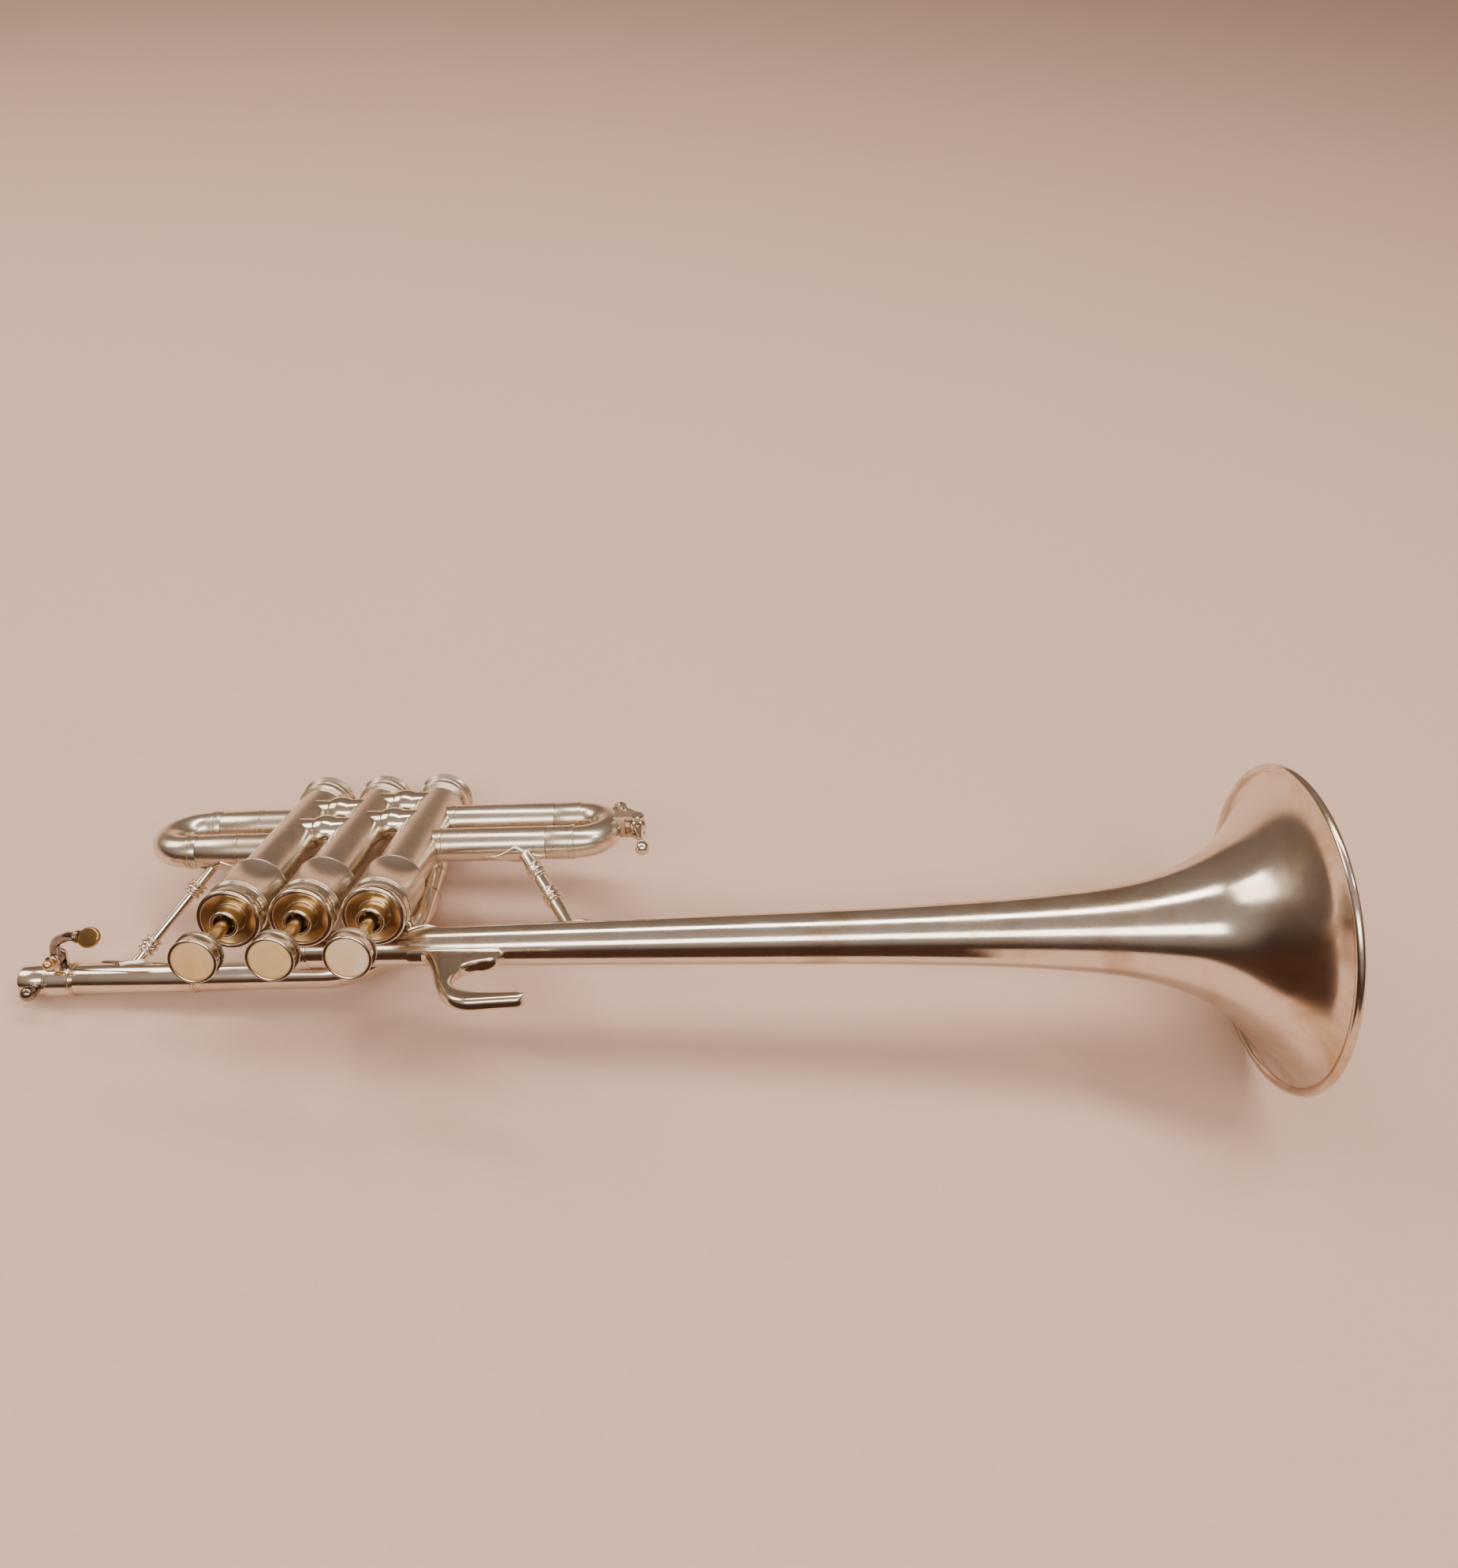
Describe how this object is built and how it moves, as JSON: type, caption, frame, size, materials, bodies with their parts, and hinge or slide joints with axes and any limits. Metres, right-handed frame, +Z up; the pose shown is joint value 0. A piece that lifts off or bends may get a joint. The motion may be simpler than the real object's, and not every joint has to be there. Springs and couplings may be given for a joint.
{
  "type": "cornet",
  "caption": "High-pitched straight-bell brass cornet with piston valves, pull slides and a mouthpiece receiver, lying on its side.",
  "frame": {"origin": "middle of the instrument's footprint, on the table it lies on", "axes": "+X along the instrument towards the bell, +Z up from the table, -Y the side the finger buttons point to"},
  "size_m": [0.4696, 0.1575, 0.1164],
  "materials": {
    "silver_plate": "polished silver plate over brass, lightly tarnished",
    "cap_silver": "silver plate outside, bare brass in the dish",
    "dark_silver": "polished, darkened silver",
    "bare_brass": "bare brass, worn satin",
    "valve_metal": "lapped nickel alloy",
    "spring_steel": "drawn wire",
    "mother_of_pearl": "cream mother-of-pearl, polished",
    "felt": "pressed felt",
    "cork": "cork, worn"
  },
  "bodies": {
    "body": {"valve_casing_1": "silver_plate", "bottom_cap_1": "silver_plate", "top_cap_1": "cap_silver", "valve_guide_1": "bare_brass", "valve_spring_1": "spring_steel", "valve_casing_2": "silver_plate", "bottom_cap_2": "silver_plate", "top_cap_2": "cap_silver", "valve_guide_2": "bare_brass", "valve_spring_2": "spring_steel", "valve_casing_3": "silver_plate", "bottom_cap_3": "silver_plate", "top_cap_3": "cap_silver", "valve_guide_3": "bare_brass", "valve_spring_3": "spring_steel", "crossover_tubes": "silver_plate", "first_slide_outer_tubes": "silver_plate", "second_slide_outer_tubes": "silver_plate", "third_slide_outer_tubes": "silver_plate", "leadpipe_sleeve": "silver_plate", "leadpipe_bend": "silver_plate", "clamp_ferrule": "silver_plate", "clamp_pin": "bare_brass", "bell": "silver_plate", "bell_tail_ferrule": "silver_plate", "bell_bow": "silver_plate", "left_brace": "silver_plate", "right_brace": "silver_plate", "bell_tail_brace": "silver_plate", "finger_hook": "silver_plate"},
    "valve_1": {"piston_1": "valve_metal", "valve_stem_1": "bare_brass", "piston_felt_1": "felt", "finger_button_1": "silver_plate", "pearl_inlay_1": "mother_of_pearl"},
    "valve_2": {"piston_2": "valve_metal", "valve_stem_2": "bare_brass", "piston_felt_2": "felt", "finger_button_2": "silver_plate", "pearl_inlay_2": "mother_of_pearl"},
    "valve_3": {"piston_3": "valve_metal", "valve_stem_3": "bare_brass", "piston_felt_3": "felt", "finger_button_3": "silver_plate", "pearl_inlay_3": "mother_of_pearl"},
    "first_slide": {"first_slide_inner_tubes": "silver_plate", "first_slide_bow": "silver_plate"},
    "second_slide": {"second_slide_inner_tubes": "silver_plate", "second_slide_bow": "silver_plate"},
    "third_slide": {"third_slide_inner_tubes": "silver_plate", "third_slide_bow": "silver_plate", "water_key_saddle": "silver_plate", "water_key_screw": "spring_steel"},
    "water_key": {"water_key_lever": "silver_plate", "water_key_cork": "cork"},
    "mouthpipe": {"mouthpiece_receiver": "silver_plate", "pull_knob": "dark_silver"},
    "clamp_lever": {"clamp_lever": "dark_silver", "clamp_thumb_plate": "bare_brass"}
  },
  "joints": [
    {"name": "valve_1_press", "type": "slide", "parent": "body", "child": "valve_1", "axis": [0.0251, 0.9156, -0.4013], "range_m": [0, 0.0148], "stiffness_N_per_m": 120, "springref_m": -0.012, "deforming": ["valve_spring_1"]},
    {"name": "valve_2_press", "type": "slide", "parent": "body", "child": "valve_2", "axis": [0.0251, 0.9156, -0.4013], "range_m": [0, 0.0148], "stiffness_N_per_m": 120, "springref_m": -0.012, "deforming": ["valve_spring_2"]},
    {"name": "valve_3_press", "type": "slide", "parent": "body", "child": "valve_3", "axis": [0.0251, 0.9156, -0.4013], "range_m": [0, 0.0148], "stiffness_N_per_m": 120, "springref_m": -0.012, "deforming": ["valve_spring_3"]},
    {"name": "first_slide_pull", "type": "slide", "parent": "body", "child": "first_slide", "axis": [-0.998, 0, -0.0625], "range_m": [0, 0.018]},
    {"name": "second_slide_pull", "type": "slide", "parent": "body", "child": "second_slide", "axis": [0.0572, -0.4021, -0.9138], "range_m": [0, 0.0035]},
    {"name": "third_slide_pull", "type": "slide", "parent": "body", "child": "third_slide", "axis": [0.998, 0, 0.0625], "range_m": [0, 0.03]},
    {"name": "mouthpipe_pull", "type": "slide", "parent": "body", "child": "mouthpipe", "axis": [-0.998, 0, -0.0625], "range_m": [0, 0.025]},
    {"name": "clamp_lever_turn", "type": "hinge", "parent": "body", "child": "clamp_lever", "pos_m": [-0.22092, -0.01072, 0.01526], "axis": [-0.0251, -0.9156, 0.4013], "range_deg": [0, 60]},
    {"name": "water_key_open", "type": "hinge", "parent": "third_slide", "child": "water_key", "pos_m": [-0.00155, 0.0379, 0.04174], "axis": [0.0572, -0.4021, -0.9138], "range_deg": [0, 12], "stiffness_Nm_per_rad": 0.05, "springref_deg": -34.38}
  ]
}
